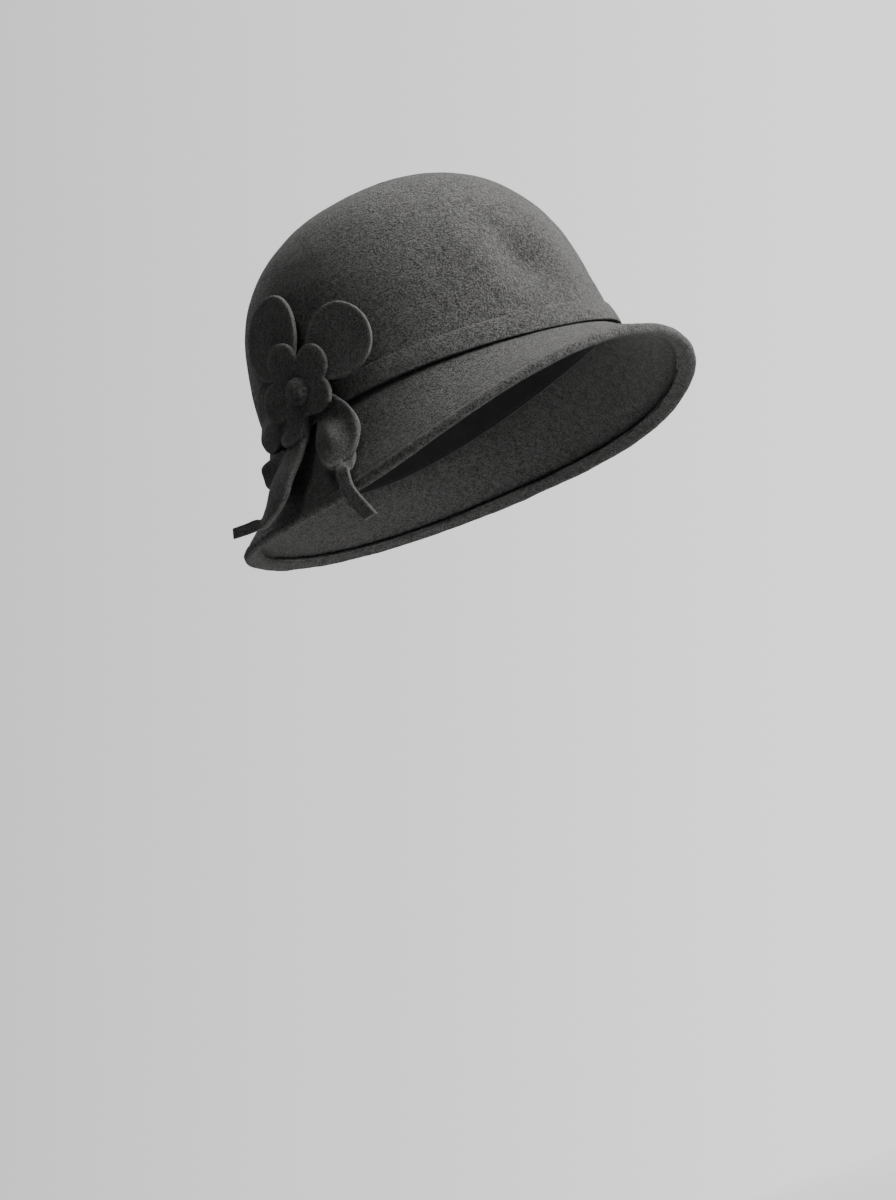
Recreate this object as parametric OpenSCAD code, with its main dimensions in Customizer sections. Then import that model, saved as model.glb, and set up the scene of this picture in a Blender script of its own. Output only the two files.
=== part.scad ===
// Felt cloche hat: a round blocked crown, a bell brim with a wired hem, a felt
// band with a flower trim at the wearer's right, and a ribbon sweatband inside.
// The front faces -Y, the wearer's right is -X, and the origin is the middle of
// the head opening. Angles around the hat start at the front and grow toward +X.

/* [Crown] */
// Half length of the crown outside, front to back, at the head line
crown_half_length = 105; // [99:0.5:111]
// Half width of the crown outside, side to side, at the head line
crown_half_width = 88; // [83:0.5:94]
// Height of the crown's top above the origin
crown_height = 119; // [108:1:128]
// Thickness of the felt
felt = 2.5; // [2.3:0.1:2.6]
// Depth of the soft crease at the front of the crown
dent_depth = 3.5; // [0:0.5:5]

/* [Brim] */
// Mean drop of the brim's edge below the origin
brim_drop = 32.1; // [29:0.1:35]
// Mean reach of the brim's edge beyond the crown
brim_reach = 30.3; // [28:0.1:33]
// Width of the hem that is folded under the brim
hem_width = 5.5; // [5:0.5:8]
// Diameter of the wire inside the hem
wire_d = 1.2; // [0.8:0.1:1.3]

/* [Bands] */
// Height of the felt band outside the crown
band_height = 10.5; // [9:0.5:13]
// Thickness of the felt band
band_thickness = 2.4; // [2:0.1:2.4]
// Height of the ribbon sweatband inside
sweatband_height = 27; // [22:1:28]
// Thickness of the sweatband
sweatband_thickness = 0.7; // [0.5:0.1:0.8]

/* [Flower] */
// Angle of the flower's centre around the crown
flower_angle = -82.5; // [-86:0.5:-80]
// Height of the flower's centre above the head line
flower_height = 14; // [12:0.5:16]
// Diameter of the covered button
button_d = 12.6; // [11:0.2:14]
// Reach of the small flower's petals from its centre
small_flower_r = 25; // [22:0.5:27]

/* [Tails] */
// Width of the two loose felt tails
tail_width = 6; // [5:0.5:7]
// Thickness of the two loose felt tails
tail_thickness = 2.4; // [2:0.1:2.6]

/* [Hidden] */

// Clear gap between neighbouring layers
gap = 0.3;
// Sides of every ring that runs around the head
around = 72;
// Levels of the crown's wall between the head line and the top
crown_levels = 12;
// Height of the brim's collar, which stands inside the crown
collar_height = 8;
// Thickness of the skived collar
collar_thickness = 2.2;
// How far the brim's outer face starts inside the crown's outer face
tuck = felt + gap;
// Radius of the brim's folded edge
edge_r = felt + gap / 2;
// Radius of the channel around the wire
channel_r = 1.0;
// Exponents that shape the crown's profile and the brim's flare
crown_power = 3.2;
crown_root = 2.15;
flare_power = 1.35;
// Brim length that the trim's heights below the head line are counted in
brim_span = 50;
// Offsets of the trim's layers outside the crown
backing_base = 3.0;
backing_thickness = 1.0;
petal_base = 4.3;
small_flower_base = petal_base + felt + gap;
button_base = small_flower_base + felt + 0.05;
// Length and radius of one stitch
stitch_length = 4.5;
stitch_r = 0.3;
// Offsets of the sweatband's outer and inner faces from the crown's outer face
sweatband_outer = -tuck - collar_thickness - 0.2;
sweatband_inner = sweatband_outer - sweatband_thickness;
// Facets of the button
$fn = 40;

felt_color = [0.24, 0.24, 0.23];
ribbon_color = [0.12, 0.12, 0.12];
thread_color = [0.16, 0.16, 0.155];
label_color = [0.75, 0.74, 0.7];
steel_color = [0.62, 0.63, 0.65];

// ---- Shape of the hat ----

// Height of the head line, where the crown meets the brim
function z_head(t) = 5.2 * cos(t) - 4.7 * cos(2 * t);
// Height of the brim's edge: lowest at the sides, and a little askew
function z_edge(t) =
    4.6 * cos(t) + 7.65 * cos(2 * t) + 2.6 * cos(3 * t) + 2.4 * sin(2 * t) - brim_drop;
// Reach of the brim's edge beyond the crown: widest at the front and back
function reach(t) =
    brim_reach - 2 * cos(t) + 6.4 * cos(2 * t) + 0.55 * sin(t) + 1.7 * sin(2 * t);
// Share of the full radius that the crown keeps at a share s of its height
function round_off(s) =
    pow(max(0, 1 - pow(s, crown_power)), 1 / crown_root) * (1 - 0.1 * s * (1 - s));
function level(z, out) = min(1, max(0, z) / (crown_height + out));
// Backward lean of the crown at a level s
function lean(s) = 2 * s + 6 * s * s;
function wrap(a) = a - 360 * floor((a + 180) / 360);
function dent(t, z) =
    dent_depth * exp(-pow(wrap(t + 4) / 11, 2)) * exp(-pow((z - 50) / 22, 2));

// A point at angle t and height z, rho outside the crown's wall
function at(t, rho, z) =
    let (s = level(z, 0), k = round_off(s))
    [(crown_half_width * k + rho) * sin(t), -(crown_half_length * k + rho) * cos(t) + lean(s), z];

// A point of the crown's outer face, or of a shell of the same shape inside it
function crown_point(t, z, out) =
    let (s = level(z, out), k = round_off(s), d = dent(t, z))
    [((crown_half_width + out) * k - d) * sin(t),
     -((crown_half_length + out) * k - d) * cos(t) + lean(s), z];

// The brim's outer face as [rho, z] at a share s from the head line to the edge
function brim_face(t, s, inset) =
    [reach(t) * pow(s, flare_power) - inset * pow(1 - s, 12),
     z_head(t) + (z_edge(t) - z_head(t)) * s];
function unit(v) = v / norm(v);
function brim_along(t, s, inset) =
    unit(brim_face(t, min(1, s + 0.01), inset) - brim_face(t, max(0, s - 0.01), inset));
function brim_out(t, s, inset) =
    let (a = brim_along(t, s, inset)) [-a[1], a[0]];
// A point below the brim's outer face
function brim_depth(t, s, d, inset = tuck) =
    brim_face(t, s, inset) - d * brim_out(t, s, inset);
function brim_length(t) = norm([reach(t), z_edge(t) - z_head(t)]);
// Shares of the brim at which the edge starts to turn and at which the hem ends
function s_turn(t) = 1 - edge_r / brim_length(t);
function s_hem(t) = s_turn(t) - hem_width / brim_length(t);
// Middle of the folded edge, where the wire lies, and a point around it
function edge_point(t, r, a) =
    let (s = s_turn(t))
    brim_depth(t, s, edge_r) + r * (cos(a) * brim_out(t, s, tuck) + sin(a) * brim_along(t, s, tuck));

// A point of the trim: r runs forward around the hat, v up from the head line
// (or down the brim where it is negative), and n is the height off the surface
function trim_angle(r, v) =
    flower_angle + r / (crown_half_length * round_off(level(v, 0))) * 180 / PI;
function trim_point(r, v, n) =
    let (t = trim_angle(r, v), face = brim_depth(t, min(1, max(0, -v) / brim_span), -n, 0))
    v >= 0 ? at(t, n, z_head(t) + v) : at(t, face[0], face[1]);

// ---- Solids from rings of points ----

// Joins rings, each turning right-handed about the way from the first to the last.
// A looped loft closes on itself, and an open one ends in flat faces or in tips.
module loft(rings, looped = false, tips = []) {
    n = len(rings);
    m = len(rings[0]);
    points = concat([for (ring = rings) each ring], tips);
    last_span = looped ? n - 1 : n - 2;
    sides = [for (i = [0:last_span], j = [0:m - 1])
        let (a = i * m + j, b = i * m + (j + 1) % m,
             c = (i + 1) % n * m + (j + 1) % m, d = (i + 1) % n * m + j)
        each [[a, c, b], [a, d, c]]];
    flat_ends = [[for (j = [0:m - 1]) j], [for (j = [m - 1:-1:0]) (n - 1) * m + j]];
    tip_ends = [for (j = [0:m - 1])
        each [[n * m, j, (j + 1) % m], [n * m + 1, (n - 1) * m + (j + 1) % m, (n - 1) * m + j]]];
    ends = looped ? [] : len(tips) == 2 ? tip_ends : flat_ends;
    polyhedron(points, concat(sides, ends), convexity = 8);
}

// One section of points [rho, z] placed at angle t
function placed(t, section) = [for (p = section) at(t, p[0], p[1])];
function full_turn() = [for (i = [0:around - 1]) i * 360 / around];
// Angles from a to b that include both ends
function turn_between(a, b, count) = [for (i = [0:count]) a + (b - a) * i / count];

// Smooth curve through a list of points, with a number of steps in each span
function curve(points, steps = 4) =
    let (last = len(points) - 1)
    concat([for (i = [0:last - 1], j = [0:steps - 1])
        let (u = j / steps, a = points[max(0, i - 1)], b = points[i],
             c = points[i + 1], d = points[min(last, i + 2)])
        b + (c - a) * u / 2 + (2 * a - 5 * b + 4 * c - d) * u * u / 2
            + (3 * b - a - 3 * c + d) * u * u * u / 2],
        [points[last]]);

// Half width x and half thickness y of a strip, with its long edges cut by edge
function strip_section(x, y, edge) = edge == 0
    ? [[x, -y], [x, y], [-x, y], [-x, -y]]
    : [[x, edge - y], [x, y - edge], [x - edge, y], [edge - x, y],
       [-x, y - edge], [-x, edge - y], [edge - x, -y], [x - edge, -y]];
function strip_ring(centre, ahead, out, width, thickness, edge = 0) =
    let (side = unit(cross(out, ahead)), up = unit(cross(ahead, side)))
    [for (p = strip_section(width / 2, thickness / 2, edge)) centre + p[0] * side + p[1] * up];
function along_path(path, i) =
    unit(path[min(len(path) - 1, i + 1)] - path[max(0, i - 1)]);

// A strip of felt along a path, with its flat side facing each outward vector
module strip(path, outs, widths, thickness) {
    soft_edge = 0.5;
    loft([for (i = [0:len(path) - 1])
        strip_ring(path[i], along_path(path, i), outs[i], widths[i], thickness, soft_edge)]);
}

// A felt shape that follows the hat at a height base off it. The outline is a list
// of [r, v] around a middle point. The middle rises by bulge, and the height falls
// by sink for each millimetre away from the flower's centre.
module felt_patch(outline, middle, base, thickness, bulge = 0, sink = 0) {
    shares = [0.35, 0.7, 1];
    function raised(q, share, n) =
        let (lift = bulge * (1 - share * share) - sink * norm(q - [0, flower_height]))
        trim_point(q[0], q[1], n + lift);
    function ring(share, n) = [for (p = outline) raised(middle + (p - middle) * share, share, n)];
    under = [for (share = shares) ring(share, base)];
    over = [for (i = [len(shares) - 1:-1:0]) ring(shares[i], base + thickness)];
    tips = [for (n = [base, base + thickness]) raised(middle, 0, n)];
    loft(concat(under, over), tips = tips);
}

// Outline of a petal that leaves the flower's centre at an angle: a drop with its
// point at start and its round end at start + length. drop_full scales it so that
// its widest place is width.
drop_power = 0.5;
drop_ratio = (drop_power + 1) / (drop_power + 2);
drop_full = 2 * pow(drop_ratio, (drop_power + 1) / 2) / sqrt(drop_power + 2);
function petal_outline(angle, start, length, width) = [for (i = [0:31])
    let (u = i * 360 / 32,
         x = start + length * (1 - cos(u)) / 2,
         y = -width / 2 * sin(u) * pow(abs(sin(u / 2)), drop_power) / drop_full)
    [x * cos(angle) - y * sin(angle), flower_height + x * sin(angle) + y * cos(angle)]];
function petal_middle(angle, start, length) =
    let (x = start + 0.55 * length) [x * cos(angle), flower_height + x * sin(angle)];
module petal(angle, start, length, width, bulge = 0, sink = 0) {
    felt_patch(petal_outline(angle, start, length, width), petal_middle(angle, start, length),
        petal_base, felt, bulge, sink);
}

// One straight stitch between two points, with out facing away
module stitch(from, to, out) {
    ahead = unit(to - from);
    loft([for (p = [from, to]) strip_ring(p, ahead, out, 2 * stitch_r, 2 * stitch_r)]);
}
function outward(t) = [sin(t), -cos(t), 0];
// Half the angle that one stitch spans at angle t around the crown
function stitch_span(t) =
    stitch_length / (2 * norm([crown_half_width * cos(t), crown_half_length * sin(t)])) * 180 / PI;

// ---- Parts of the hat ----

module crown() {
    function rise(t, i, out) = (crown_height + out - z_head(t)) * sin(90 * i / crown_levels);
    function wall(out) = [for (i = [0:crown_levels - 1])
        [for (t = full_turn()) crown_point(t, z_head(t) + rise(t, i, out), out)]];
    inner = wall(-felt);
    downward = [for (i = [crown_levels - 1:-1:0]) inner[i]];
    color(felt_color)
        loft(concat(downward, wall(0)), tips = [crown_point(0, crown_height - felt, -felt),
            crown_point(0, crown_height, 0)]);
}

function brim_section(t) =
    let (turn = s_turn(t), hem = s_hem(t), top = z_head(t) + collar_height,
         slit_angle = acos(gap / 2 / channel_r), channel_turn = 180 + 2 * slit_angle)
    concat(
        [[-tuck, top], [-tuck, z_head(t) + collar_height / 2]],
        [for (s = [0, 0.03, 0.07, 0.13, 0.25, 0.4, 0.55, 0.7, 0.82]) brim_face(t, s, tuck)],
        [for (a = [0:30:180]) edge_point(t, edge_r, a)],
        [brim_depth(t, (turn + hem) / 2, 2 * edge_r), brim_depth(t, hem, 2 * edge_r),
         brim_depth(t, hem, edge_r + gap / 2)],
        [for (i = [0:8]) edge_point(t, channel_r, 180 + slit_angle - i * channel_turn / 8)],
        [for (s = [hem, 0.6, 0.45, 0.3, 0.17]) brim_depth(t, s, felt)],
        [[-tuck - collar_thickness, z_head(t) - 1], [-tuck - collar_thickness, top]]);

module brim() {
    color(felt_color) loft([for (t = full_turn()) placed(t, brim_section(t))], looped = true);
}

// Clockwise circle of sides points around the wire's line
function wire_ring(t, r, sides) =
    placed(t, [for (j = [0:sides - 1]) edge_point(t, r, j * 360 / sides)]);

module brim_wire() {
    color(steel_color)
        loft([for (t = turn_between(-179.8, 179.8, around)) wire_ring(t, wire_d / 2, 6)]);
}

// A short tube over the two ends of the wire, at the back
module wire_joiner() {
    half_angle = 3;
    outer_r = channel_r - 0.08;
    inner_r = wire_d / 2 + 0.1;
    stations = turn_between(180 - half_angle, 180 + half_angle, 6);
    color(steel_color)
        loft(concat([for (t = stations) wire_ring(t, outer_r, 12)],
            [for (i = [len(stations) - 1:-1:0]) wire_ring(stations[i], inner_r, 12)]),
            looped = true);
}

// A felt strip around the crown, with its two ends meeting under the flower
module hatband() {
    low = gap / 2;
    outer = low + band_thickness;
    function section(t) = let (z = z_head(t) - 0.3, top = z + band_height)
        [[low, top], [low + band_thickness * 0.5, top], [outer, top - 1],
         [outer, z + 0.6], [low + band_thickness * 0.6, z], [low, z]];
    half_gap = 0.3;
    color(felt_color * 0.95)
        loft([for (t = turn_between(flower_angle + half_gap, flower_angle + 360 - half_gap, around))
            placed(t, section(t))]);
}

module sweatband() {
    function section(t) =
        let (z = z_head(t) - 0.5, middle = z + sweatband_height / 2, top = z + sweatband_height)
        concat([for (v = [top, middle, z]) [sweatband_outer, v]],
            [for (v = [z, middle, top]) [sweatband_inner, v]]);
    color(ribbon_color) loft([for (t = full_turn()) placed(t, section(t))], looped = true);
}

// A small blank woven label at the back of the sweatband
module size_label() {
    label_height = 12;
    label_thickness = 0.35;
    outer = sweatband_inner - 0.15;
    inner = outer - label_thickness;
    function section(t) = let (z = z_head(t) + 4, top = z + label_height)
        [[outer, top], [outer, z], [inner, z], [inner, top]];
    color(label_color)
        loft([for (t = [175, 180, 185]) placed(t, section(t))]);
}

// Stitches through the crown and the brim's collar, under the band
module head_seam_stitching() {
    seam_height = 3;
    bite = 0.8;
    color(thread_color) for (t = [0:6:354]) {
        half = stitch_span(t);
        z = z_head(t) + seam_height;
        stitch(at(t - half, -felt / 2, z), at(t + half, -tuck - bite, z), outward(t));
    }
}

// Stitches on the underside, close to the hem's raw edge
module hem_stitching() {
    from_raw_edge = 1.6;
    function point(t) =
        let (s = s_hem(t) + from_raw_edge / brim_length(t), p = brim_depth(t, s, 2 * edge_r + 0.1))
        at(t, p[0], p[1]);
    color(thread_color) for (t = [0:5:355]) {
        half = stitch_span(t) * 0.75;
        stitch(point(t - half), point(t + half), outward(t));
    }
}

// Slip stitches that hold the band's upper edge to the crown
module hatband_stitching() {
    from_upper_edge = 1.2;
    bite = 1.2;
    color(thread_color) for (t = [flower_angle + 15:15:flower_angle + 345]) {
        z = z_head(t) + band_height - from_upper_edge;
        stitch(at(t, -1, z), at(t, gap / 2 + bite, z), [0, 0, 1]);
    }
}

// Stitches that hold the sweatband to the collar
module sweatband_stitching() {
    seam_height = 1.2;
    bite = 0.4;
    proud = 0.05;
    color(thread_color) for (t = [3:6:357]) {
        half = stitch_span(t);
        z = z_head(t) + seam_height;
        from = at(t - half, sweatband_outer + bite, z);
        to = at(t + half, sweatband_inner - proud, z);
        stitch(from, to, outward(t));
    }
}

// ---- Parts of the trim ----

// A small round felt pad that the petals are sewn to
module flower_backing() {
    backing_r = 13;
    outline = [for (a = [0:15:345]) [backing_r * cos(a), flower_height + backing_r * sin(a)]];
    color(felt_color * 0.8)
        felt_patch(outline, [0, flower_height], backing_base, backing_thickness);
}

module petal_upper_front() {
    color(felt_color) petal(24, 10, 41, 38);
}

module petal_upper_back() {
    color(felt_color) petal(111, 14, 44, 39, sink = 0.02);
}

module petal_lower_back() {
    color(felt_color) petal(177, 15, 47, 38, sink = 0.02);
}

// A petal cupped into a fold, hanging over the brim
module petal_folded() {
    color(felt_color) petal(-68, 15, 38, 30, bulge = 4.5);
}

// Stations of a trim strip: each is [r, v, n, width]
function trim_path(stations) = [for (p = stations) trim_point(p[0], p[1], p[2])];
function trim_outs(stations) = [for (p = stations)
    unit(trim_point(p[0], p[1], p[2] + 1) - trim_point(p[0], p[1], p[2]))];
function trim_widths(stations) = [for (p = stations) p[3]];
module trim_strip(stations) {
    fine = curve(stations);
    strip(trim_path(fine), trim_outs(fine), trim_widths(fine), felt);
}

// The short rounded leaf that shows behind the long one
module leaf_under() {
    color(felt_color * 0.9)
        trim_strip([[-45, -10.5, 5, 9], [-48, -14, 6.6, 14], [-49.5, -18.5, 7.2, 14],
            [-48.5, -24, 5.8, 9]]);
}

// The long leaf, which widens from under the flower and ends over the back tail
module leaf_twist() {
    color(felt_color)
        trim_strip([[-12.5, -5, 5.5, 14], [-19, -13, 6, 25], [-24.5, -23, 8, 32],
            [-25, -32, 9.5, 30], [-24.5, -39, 10.5, 25]]);
}

// Loose tail below the folded petal: [x, y, z] of its middle line
front_tail_path = [[-106.5, -43, -26.5], [-106.8, -40, -30], [-107.7, -39.5, -35],
    [-108.6, -40.5, -40.5], [-108.8, -43, -46.5], [-108.3, -45.5, -52], [-107.9, -48.5, -58]];
module tail_front() {
    color(felt_color) loose_strip(front_tail_path, flower_angle + 12);
}

// Loose tail that the long leaf runs out into
back_tail_path = [[-115, 14.5, -32.5], [-114, 25, -31], [-113, 36, -29.5], [-111.5, 48, -27.5],
    [-110, 61, -25]];
module tail_back() {
    color(felt_color) loose_strip(back_tail_path, flower_angle - 8);
}

// A tail whose flat side faces away from the hat at one angle around it
module loose_strip(path, facing) {
    fine = curve(path);
    strip(fine, [for (p = fine) outward(facing)], [for (p = fine) tail_width], tail_thickness);
}

// The five-petal flower in front of the large petals: each petal is a circle, given
// as its angle and the reach of its tip from the flower's centre
small_petals = [[35, 1], [107, 1.03], [172, 1.08], [236, 1.26], [320, 0.84]];
petal_tip_r = 9.5;
function petal_reach(a, petal) =
    let (middle = small_flower_r * petal[1] - petal_tip_r, off = abs(middle * sin(a - petal[0])))
    off > petal_tip_r || cos(a - petal[0]) < 0 ? 0
        : middle * cos(a - petal[0]) + sqrt(petal_tip_r * petal_tip_r - off * off);
module small_flower() {
    valley_r = 13;
    outline = [for (a = [0:6:354])
        let (r = max([valley_r, for (petal = small_petals) petal_reach(a, petal)]))
        [r * cos(a), flower_height + r * sin(a)]];
    color(felt_color) felt_patch(outline, [0, flower_height], small_flower_base, felt);
}

// Puts a child that points up +Z on the flower's centre, n off the crown, square
// to the crown's wall, which leans back a little there
wall_lean = 4;
module on_flower(n) {
    translate(trim_point(0, flower_height, n))
        rotate([0, 0, flower_angle])
            rotate([90 - wall_lean, 0, 0])
                children();
}

button_r = button_d / 2;
button_h = 5;
cover_thickness = 1.2;
shell_thickness = 0.4;
fit = 0.05;
// Half profile of a low dome of radius r and height h
function dome(r, h) = [for (a = [0:10:90]) [r * cos(a), h * pow(sin(a), 0.8)]];
module dome_shell(r, h, wall) {
    inner = dome(r - wall, h - wall);
    rotate_extrude()
        polygon(concat(dome(r, h), [for (i = [len(inner) - 1:-1:0]) inner[i]]));
}

module button_cover() {
    color(felt_color) on_flower(button_base) dome_shell(button_r, button_h, cover_thickness);
}

module button_shell() {
    inset = cover_thickness + fit;
    color(steel_color) on_flower(button_base)
        dome_shell(button_r - inset, button_h - inset, shell_thickness);
}

// The back plate, with a hole for each leg of the eye
module button_back() {
    plate_r = button_r - cover_thickness - shell_thickness - gap;
    plate_thickness = 0.6;
    color(steel_color) on_flower(button_base + 0.1) difference() {
        cylinder(h = plate_thickness, r = plate_r);
        for (x = [-eye_r, eye_r])
            translate([x, 0, -plate_thickness])
                cylinder(h = 3 * plate_thickness, r = eye_wire_r + fit);
    }
}

// The wire eye that the sewing thread passes through: its lower half and a little more
eye_r = 1.6;
eye_wire_r = 0.4;
module button_shank() {
    leg = 0.4;
    keep = 10;
    color(steel_color) on_flower(button_base) rotate([90, 0, 0]) intersection() {
        rotate_extrude() translate([eye_r, 0]) circle(r = eye_wire_r, $fn = 12);
        translate([-keep / 2, leg - keep, -keep / 2]) cube(keep);
    }
}

// The tie from the button's eye through every layer, with its knot inside
module trim_stitching() {
    knot_r = 1.6;
    knot_h = 0.25;
    tie_r = 0.5;
    short_of_eye = 2.2;
    tie_length = button_base + felt + knot_h - short_of_eye;
    color(thread_color) on_flower(-felt - knot_h) {
        cylinder(h = tie_length, r = tie_r);
        cylinder(h = knot_h, r = knot_r);
    }
}

crown();
brim();
brim_wire();
wire_joiner();
hatband();
sweatband();
size_label();
head_seam_stitching();
hem_stitching();
hatband_stitching();
sweatband_stitching();
flower_backing();
petal_upper_front();
petal_upper_back();
petal_lower_back();
petal_folded();
leaf_under();
leaf_twist();
tail_front();
tail_back();
small_flower();
button_cover();
button_shell();
button_back();
button_shank();
trim_stitching();
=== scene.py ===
"""Felt cloche hat: a blocked crown, a bell brim with a wired hem, a felt band, a
layered felt flower with two loose tails, and a ribbon sweatband inside.

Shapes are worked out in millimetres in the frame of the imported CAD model, with the
same formulas, and become metres where a mesh is made. The front of the hat faces -Y,
the flower is at -X, and angles around the hat start at the front and grow toward +X.
"""

import math

import bmesh
import bpy
import numpy as np
from mathutils import Matrix, Vector, noise

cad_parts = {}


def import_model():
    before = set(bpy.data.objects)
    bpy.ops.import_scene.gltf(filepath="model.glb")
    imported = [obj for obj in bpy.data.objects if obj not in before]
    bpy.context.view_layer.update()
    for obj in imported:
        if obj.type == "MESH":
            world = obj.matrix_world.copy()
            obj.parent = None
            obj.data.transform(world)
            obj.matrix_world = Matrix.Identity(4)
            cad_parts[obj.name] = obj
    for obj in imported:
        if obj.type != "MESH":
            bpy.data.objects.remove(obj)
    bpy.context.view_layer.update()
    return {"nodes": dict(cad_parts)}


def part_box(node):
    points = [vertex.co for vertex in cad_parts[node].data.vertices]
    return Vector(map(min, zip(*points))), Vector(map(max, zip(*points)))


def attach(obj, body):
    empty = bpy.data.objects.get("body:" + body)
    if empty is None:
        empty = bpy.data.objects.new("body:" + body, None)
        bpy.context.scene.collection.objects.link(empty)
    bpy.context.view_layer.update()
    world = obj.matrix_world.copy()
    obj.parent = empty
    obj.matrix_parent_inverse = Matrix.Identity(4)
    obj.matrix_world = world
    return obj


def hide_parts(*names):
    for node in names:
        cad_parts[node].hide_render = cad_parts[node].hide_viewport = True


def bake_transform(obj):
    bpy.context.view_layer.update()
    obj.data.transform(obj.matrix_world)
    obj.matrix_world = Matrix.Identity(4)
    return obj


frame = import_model()

MM = 0.001
CROWN_LOW, CROWN_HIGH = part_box("crown")

# Crown, in millimetres
HALF_LENGTH = CROWN_HIGH.y / MM
HALF_WIDTH = 88.0
HEIGHT = CROWN_HIGH.z / MM
CROWN_POWER = 3.2
CROWN_ROOT = 2.15
FELT = 2.5
GAP = 0.3
# Brim
BRIM_DROP = 32.1
BRIM_REACH = 30.3
BRIM_SPAN = 50.0
HEM_WIDTH = 5.5
COLLAR_HEIGHT = 8.0
COLLAR_THICKNESS = 2.2
TUCK = FELT + GAP
EDGE_R = FELT + GAP / 2
# Bands
BAND_HEIGHT = 10.5
BAND_THICKNESS = 2.4
SWEATBAND_HEIGHT = 27.0
SWEATBAND_THICKNESS = 0.7
SWEATBAND_OUTER = -TUCK - COLLAR_THICKNESS - 0.2
LABEL_HEIGHT = 12.0
# Flower
FLOWER_ANGLE = math.radians(-82.5)
FLOWER_HEIGHT = 14.0
BACKING_BASE = 3.0
PETAL_BASE = 4.3
SMALL_FLOWER_BASE = PETAL_BASE + FELT + GAP
BUTTON_BASE = SMALL_FLOWER_BASE + FELT + 0.05
BUTTON_R = 7.0
BUTTON_H = 5.6
# Tails
TAIL_WIDTH = 5.6
FRONT_TAIL_WIDTH = 7.0
TAIL_THICKNESS = 2.4
TAIL_SLANT = 1.6
# Camera
CAMERA_AZIMUTH = -39.5
CAMERA_ELEVATION = -12.0
CAMERA_DISTANCE = 1.455
CAMERA_ROLL = 21.25
CAMERA_LENS = 85.05
CAMERA_AIM = (-0.0175, 0.0349, -0.0907)


# ---- Shape of the hat: every function takes arrays, with angles in radians ----

def z_head(t):
    """Height of the head line, where the crown meets the brim."""
    return 5.2 * np.cos(t) - 4.7 * np.cos(2 * t)


def z_edge(t):
    """Height of the brim's edge."""
    return (4.6 * np.cos(t) + 7.65 * np.cos(2 * t) + 2.6 * np.cos(3 * t)
            + 2.4 * np.sin(2 * t) - BRIM_DROP)


def reach(t):
    """Reach of the brim's edge beyond the crown."""
    return (BRIM_REACH - 2 * np.cos(t) + 6.4 * np.cos(2 * t)
            + 0.55 * np.sin(t) + 1.7 * np.sin(2 * t))


def round_off(s):
    """Share of the full radius that the crown keeps at a share s of its height."""
    return np.maximum(0, 1 - s ** CROWN_POWER) ** (1 / CROWN_ROOT) * (1 - 0.1 * s * (1 - s))


def level(z, out=0.0):
    return np.clip(z / (HEIGHT + out), 0, 1)


def lean(s):
    """Backward lean of the crown."""
    return 2 * s + 6 * s * s


def bell(x):
    return np.exp(-x * x)


def wrap(t):
    return (t + np.pi) % (2 * np.pi) - np.pi


def smooth(x, low, high):
    u = np.clip((x - low) / (high - low), 0, 1)
    return u * u * (3 - 2 * u)


def at(t, rho, z):
    """Points at angle t and height z, rho outside the crown's wall."""
    t, rho, z = np.broadcast_arrays(t, rho, z)
    s = level(z)
    k = round_off(s)
    return np.stack([(HALF_WIDTH * k + rho) * np.sin(t),
                     -(HALF_LENGTH * k + rho) * np.cos(t) + lean(s), z + 0.0], -1)


def dent(t, z):
    """Depth of the soft crease at the crown's front, between two low ridges."""
    a = np.degrees(wrap(t + math.radians(2.5)))
    crease = 5.4 * bell((a + 0.12 * (z - 40)) / 8) * bell((z - 40) / 17)
    ridges = 1.7 * (bell((a - 16) / 8) + bell((a + 16) / 8)) * bell((z - 50) / 22)
    return crease - ridges


def crown_point(t, z, out):
    t, z = np.broadcast_arrays(t, z)
    s = level(z, out)
    k = round_off(s)
    d = dent(t, z)
    return np.stack([((HALF_WIDTH + out) * k - d) * np.sin(t),
                     -((HALF_LENGTH + out) * k - d) * np.cos(t) + lean(s), z + 0.0], -1)


def brim_face(t, s, inset=TUCK):
    """The brim's outer face as rho and z at a share s from the head line to the edge."""
    t, s = np.broadcast_arrays(t, s)
    rho = reach(t) * s ** 1.35 - inset * (1 - s) ** 12
    return np.stack([rho, z_head(t) + (z_edge(t) - z_head(t)) * s], -1)


def unit(v):
    return v / np.linalg.norm(v, axis=-1, keepdims=True)


def brim_along(t, s, inset=TUCK):
    low, high = np.maximum(0, s - 0.01), np.minimum(1, s + 0.01)
    return unit(brim_face(t, high, inset) - brim_face(t, low, inset))


def brim_out(t, s, inset=TUCK):
    a = brim_along(t, s, inset)
    return np.stack([-a[..., 1], a[..., 0]], -1)


def brim_depth(t, s, d, inset=TUCK):
    """Rho and z of a point d below the brim's outer face."""
    d = np.broadcast_to(d, np.broadcast(t, s).shape)[..., None]
    return brim_face(t, s, inset) - d * brim_out(t, s, inset)


def brim_length(t):
    return np.hypot(reach(t), z_edge(t) - z_head(t))


def s_turn(t):
    """Share of the brim at which its edge starts to turn under."""
    return 1 - EDGE_R / brim_length(t)


def s_hem(t):
    """Share of the brim at which the hem's raw edge lies."""
    return s_turn(t) - HEM_WIDTH / brim_length(t)


def trim_angle(r, v):
    return FLOWER_ANGLE + r / (HALF_LENGTH * round_off(level(v)))


def trim_point(r, v, n):
    """A point of the trim: r runs forward around the hat, v up from the head line, or
    down the brim where it is negative, and n is the height off the surface."""
    r, v, n = np.broadcast_arrays(*[np.asarray(x, float) for x in (r, v, n)])
    t = trim_angle(r, v)
    s = np.clip(-v / BRIM_SPAN, 0, 1)
    on_brim = brim_depth(t, s, -n, 0.0)
    upper = v >= 0
    rho = np.where(upper, n, on_brim[..., 0])
    z = np.where(upper, z_head(t) + v, on_brim[..., 1])
    return at(t, rho, z)


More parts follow.
